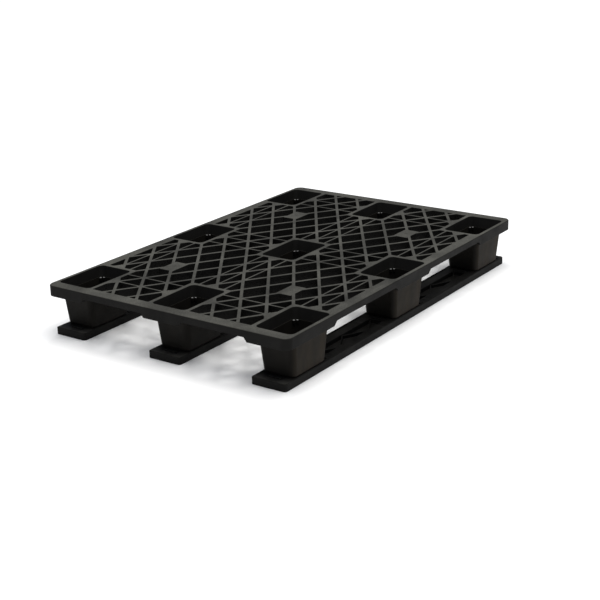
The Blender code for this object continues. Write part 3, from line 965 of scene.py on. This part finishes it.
def magnitude(tree, value):
    made = node(tree, "ShaderNodeMath", operation="ABSOLUTE")
    tree.links.new(value, made.inputs[0])
    return made.outputs["Value"]


def larger(tree, first, second):
    made = node(tree, "ShaderNodeMath", operation="MAXIMUM")
    tree.links.new(first, made.inputs[0])
    tree.links.new(second, made.inputs[1])
    return made.outputs["Value"]


def bump(tree, height, strength, distance, below=None):
    made = node(tree, "ShaderNodeBump", {"Strength": strength, "Distance": distance})
    tree.links.new(height, made.inputs["Height"])
    if below:
        tree.links.new(below, made.inputs["Normal"])
    return made.outputs["Normal"]


def add_stain(tree, place, spot, normal, colour, side):
    """Brown streaks that run down the outside turned to +X or, for side -1, to -X."""
    turned = ramp(tree, times(tree, normal.outputs["X"], float(side)), *STAIN_NORMAL)
    outside = ramp(tree, times(tree, spot.outputs["X"], float(side)), *STAIN_PLACE)
    streaks = noise(tree, place, STAIN_SCALE, 5.0, (1.0, 1.0, 0.22))
    streaks = ramp(tree, streaks, 0.34, 0.66, 0.30, 1.0)
    amount = times(tree, times(tree, turned, outside), streaks)
    return blend_colour(tree, amount, colour, STAIN_BROWN)


def add_painted_lug_highlight(tree, spot, facing_up, colour, tips):
    """Painted highlight: lightens whatever faces up between two heights, which is the lugs' domed tops.
    """
    low, high, painted_light = tips
    above = ramp(tree, spot.outputs["Z"], low, low + TIP_START)
    below = ramp(tree, spot.outputs["Z"], high + TIP_END[0], high + TIP_END[1], 1.0, 0.0)
    return blend_colour(tree, times(tree, times(tree, above, below), facing_up), colour, painted_light)


def add_painted_light_ends(tree, place, spot, facing_up, colour, ends):
    """Painted light: lightens the top of the last stretch of a long bar, in patches."""
    start, full, painted_light = ends
    share = ramp(tree, magnitude(tree, spot.outputs["Y"]), start, full)
    patches = ramp(tree, noise(tree, place, PAINTED_LIGHT_PATCH_SCALE, 6.0), 0.30, 0.65, 0.45, 1.0)
    return blend_colour(tree, times(tree, times(tree, share, facing_up), patches), colour, painted_light)


def add_dust_and_sheen(tree, place, facing_up, colour, dust_and_sheen, dust_and_sheen_amount):
    """Patchy, speckled dust on what faces up; on the deck's tops it is also painted sheen."""
    patches = ramp(tree, noise(tree, place, DUST_AND_SHEEN_SCALE, 8.0), 0.30, 0.70, 0.35, 1.0)
    speckle = ramp(tree, noise(tree, place, SPECKLE_SCALE, 3.0), 0.42, 0.62, 0.6, 1.0)
    dust_and_sheen_share = times(tree, times(tree, facing_up, patches), times(tree, speckle, dust_and_sheen_amount))
    return blend_colour(tree, dust_and_sheen_share, colour, dust_and_sheen)


def add_scratches(tree, place, facing_up, colour, pale):
    """Thin pale scratches along Y and along X on what faces up."""
    marks = []
    for scale, stretch, low, high in SCRATCHES:
        marks.append(ramp(tree, noise(tree, place, scale, 2.0, stretch), low, high))
    scuffs = times(tree, times(tree, larger(tree, *marks), facing_up), SCRATCH_SHARE)
    return blend_colour(tree, scuffs, colour, pale)


def add_relief(tree, place):
    """A fine grain over broad, shallow waves."""
    grain = noise(tree, place, GRAIN_SCALE, 2.0)
    waves = noise(tree, place, WAVE_SCALE, 3.0)
    fine = bump(tree, grain, 0.12, 0.0003)
    return bump(tree, waves, 0.25, 0.0008, fine)


def moulded_plastic(name, look, flow=FLOW_UPRIGHT, seed=0.0, stained_side=0, tips=None, ends=None):
    """Matt recycled plastic: mottled pigment, flow streaks, dusty tops that on the deck are also
    painted sheen, scuffs and fine grain; where asked, a painted highlight on lug tops and painted light
    on bar ends.
    """
    dark, light, dust_and_sheen, dust_and_sheen_amount = look
    material = bpy.data.materials.new(name)
    material.use_nodes = True
    tree = material.node_tree
    shader = tree.nodes["Principled BSDF"]
    place = node(tree, "ShaderNodeTexCoord").outputs["Object"]
    spot = node(tree, "ShaderNodeSeparateXYZ")
    tree.links.new(place, spot.inputs["Vector"])
    shifted = node(tree, "ShaderNodeMapping", {"Location": (seed, seed * 0.7, -seed)})
    tree.links.new(place, shifted.inputs["Vector"])
    place = shifted.outputs["Vector"]
    normal = node(tree, "ShaderNodeNewGeometry").outputs["Normal"]
    split = node(tree, "ShaderNodeSeparateXYZ")
    tree.links.new(normal, split.inputs["Vector"])
    facing_up = ramp(tree, split.outputs["Z"], *FACING_UP)

    mottle = ramp(tree, noise(tree, place, MOTTLE_SCALE, 6.0), 0.35, 0.68)
    streaks = ramp(tree, noise(tree, place, STREAK_SCALE, 5.0, flow), 0.40, 0.66)
    colour = blend_colour(tree, mottle, dark, light)
    colour = blend_colour(tree, times(tree, streaks, STREAK_SHARE), colour, light)
    if stained_side:
        colour = add_stain(tree, place, spot, split, colour, stained_side)
    # painted light on the top of the runners' end stretches
    if ends:
        colour = add_painted_light_ends(tree, place, spot, facing_up, colour, ends)
    # dust on what faces up, on the deck also painted sheen
    colour = add_dust_and_sheen(tree, place, facing_up, colour, dust_and_sheen, dust_and_sheen_amount)
    colour = add_scratches(tree, place, facing_up, colour, dust_and_sheen)
    # painted highlight on the lugs' domed tops
    if tips:
        colour = add_painted_lug_highlight(tree, spot, facing_up, colour, tips)
    tree.links.new(colour, shader.inputs["Base Color"])

    rough = ramp(tree, noise(tree, place, GLOSS_SCALE, 6.0), 0.25, 0.75, 0.44, 0.60)
    tree.links.new(rough, shader.inputs["Roughness"])
    shader.inputs["Specular IOR Level"].default_value = SPECULAR_LEVEL
    tree.links.new(add_relief(tree, place), shader.inputs["Normal"])
    return material


def plain_material(name, colour, roughness):
    material = bpy.data.materials.new(name)
    material.use_nodes = True
    shader = material.node_tree.nodes["Principled BSDF"]
    shader.inputs["Base Color"].default_value = (*colour, 1.0)
    shader.inputs["Roughness"].default_value = roughness
    return material


# ---------------------------------------------------------------- stage
CAMERA_PLACE = (2.0594, -2.9028, 1.2558)
CAMERA_TURN = math.radians(35.134)
CAMERA_DIP = math.radians(19.609)
CAMERA_ROLL = math.radians(-1.479)
CAMERA_LENS = 77.08

WORLD_STRENGTH = 0.26
WORLD_COLOUR = (0.86, 0.94, 1.10, 1.0)
SUN_FROM = (0.12, 0.05, 1.0)
SUN_STRENGTH = 3.25
SUN_COLOUR = (1.0, 0.985, 0.955)
SUN_SOFTNESS = math.radians(50)
LAMPS = {"lamp_left": ((-1.1, 0.8, 2.9), 14.0), "lamp_right": ((0.9, 1.0, 3.2), 10.0)}
LAMP_SIZE = 0.5
LAMP_TARGET = (0.0, 0.0, 0.1)
FLOOR_HALF = 30.0
FLOOR_DROP = 0.0002             # keeps the floor clear of the runners' undersides
FLOOR_WHITE = (0.88, 0.88, 0.88)
FLOOR_ROUGHNESS = 0.95


def make_camera():
    data = bpy.data.cameras.new("camera")
    data.lens = CAMERA_LENS
    data.sensor_width = 36.0
    data.clip_end = 100.0
    camera = bpy.data.objects.new("camera", data)
    bpy.context.scene.collection.objects.link(camera)
    dip = math.cos(CAMERA_DIP)
    ahead = Vector((-math.sin(CAMERA_TURN) * dip, math.cos(CAMERA_TURN) * dip, -math.sin(CAMERA_DIP)))
    right = Vector((math.cos(CAMERA_TURN), math.sin(CAMERA_TURN), 0.0))
    up = right.cross(ahead)
    rolled = right * math.cos(CAMERA_ROLL) + up * math.sin(CAMERA_ROLL)
    upright = up * math.cos(CAMERA_ROLL) - right * math.sin(CAMERA_ROLL)
    turn = Matrix((rolled, upright, -ahead)).transposed().to_4x4()
    camera.matrix_world = Matrix.Translation(CAMERA_PLACE) @ turn
    bpy.context.scene.camera = camera


def add_lamp(name, place, power):
    """A square area light aimed at the pallet."""
    data = bpy.data.lights.new(name, "AREA")
    data.shape = "RECTANGLE"
    data.size = LAMP_SIZE
    data.size_y = LAMP_SIZE
    data.energy = power
    light = bpy.data.objects.new(name, data)
    bpy.context.scene.collection.objects.link(light)
    light.location = place
    aim = Vector(LAMP_TARGET) - Vector(place)
    light.rotation_euler = aim.to_track_quat("-Z", "Y").to_euler()


def add_sun():
    data = bpy.data.lights.new("overhead", "SUN")
    data.color = SUN_COLOUR
    data.energy = SUN_STRENGTH
    data.angle = SUN_SOFTNESS
    light = bpy.data.objects.new("overhead", data)
    bpy.context.scene.collection.objects.link(light)
    light.rotation_euler = (-Vector(SUN_FROM)).to_track_quat("-Z", "Y").to_euler()


def make_stage():
    floor_data = bmesh.new()
    bmesh.ops.create_grid(floor_data, x_segments=1, y_segments=1, size=FLOOR_HALF)
    floor = new_object(floor_data, "floor")
    floor.location.z = -FLOOR_DROP
    floor.data.materials.append(plain_material("floor_white", FLOOR_WHITE, FLOOR_ROUGHNESS))
    world = bpy.data.worlds.new("studio")
    bpy.context.scene.world = world
    world.use_nodes = True
    background = world.node_tree.nodes["Background"]
    background.inputs["Color"].default_value = WORLD_COLOUR
    background.inputs["Strength"].default_value = WORLD_STRENGTH
    add_sun()
    for name, (place, power) in LAMPS.items():
        add_lamp(name, place, power)
    bpy.context.scene.view_settings.view_transform = "Standard"


def main():
    make_deck(moulded_plastic("deck_black", DECK_BLACK))
    foot_materials = []
    for side, column_name in enumerate(COLUMN_NAMES, -1):
        name = f"foot_black_{column_name}"
        # the feet get a painted highlight on their lugs' domed tops
        material = moulded_plastic(name, FOOT_BLACK, seed=FOOT_SEED, stained_side=side, tips=PAINTED_LUG_HIGHLIGHT)
        foot_materials.append(material)
    make_feet(foot_materials)
    # the runners get painted light on the top of their end stretches
    runner_material = moulded_plastic("runner_black", RUNNER_BLACK, FLOW_LENGTHWISE, RUNNER_SEED,
                                      ends=PAINTED_LIGHT_ENDS)
    make_runners(runner_material)
    make_stage()
    make_camera()


main()
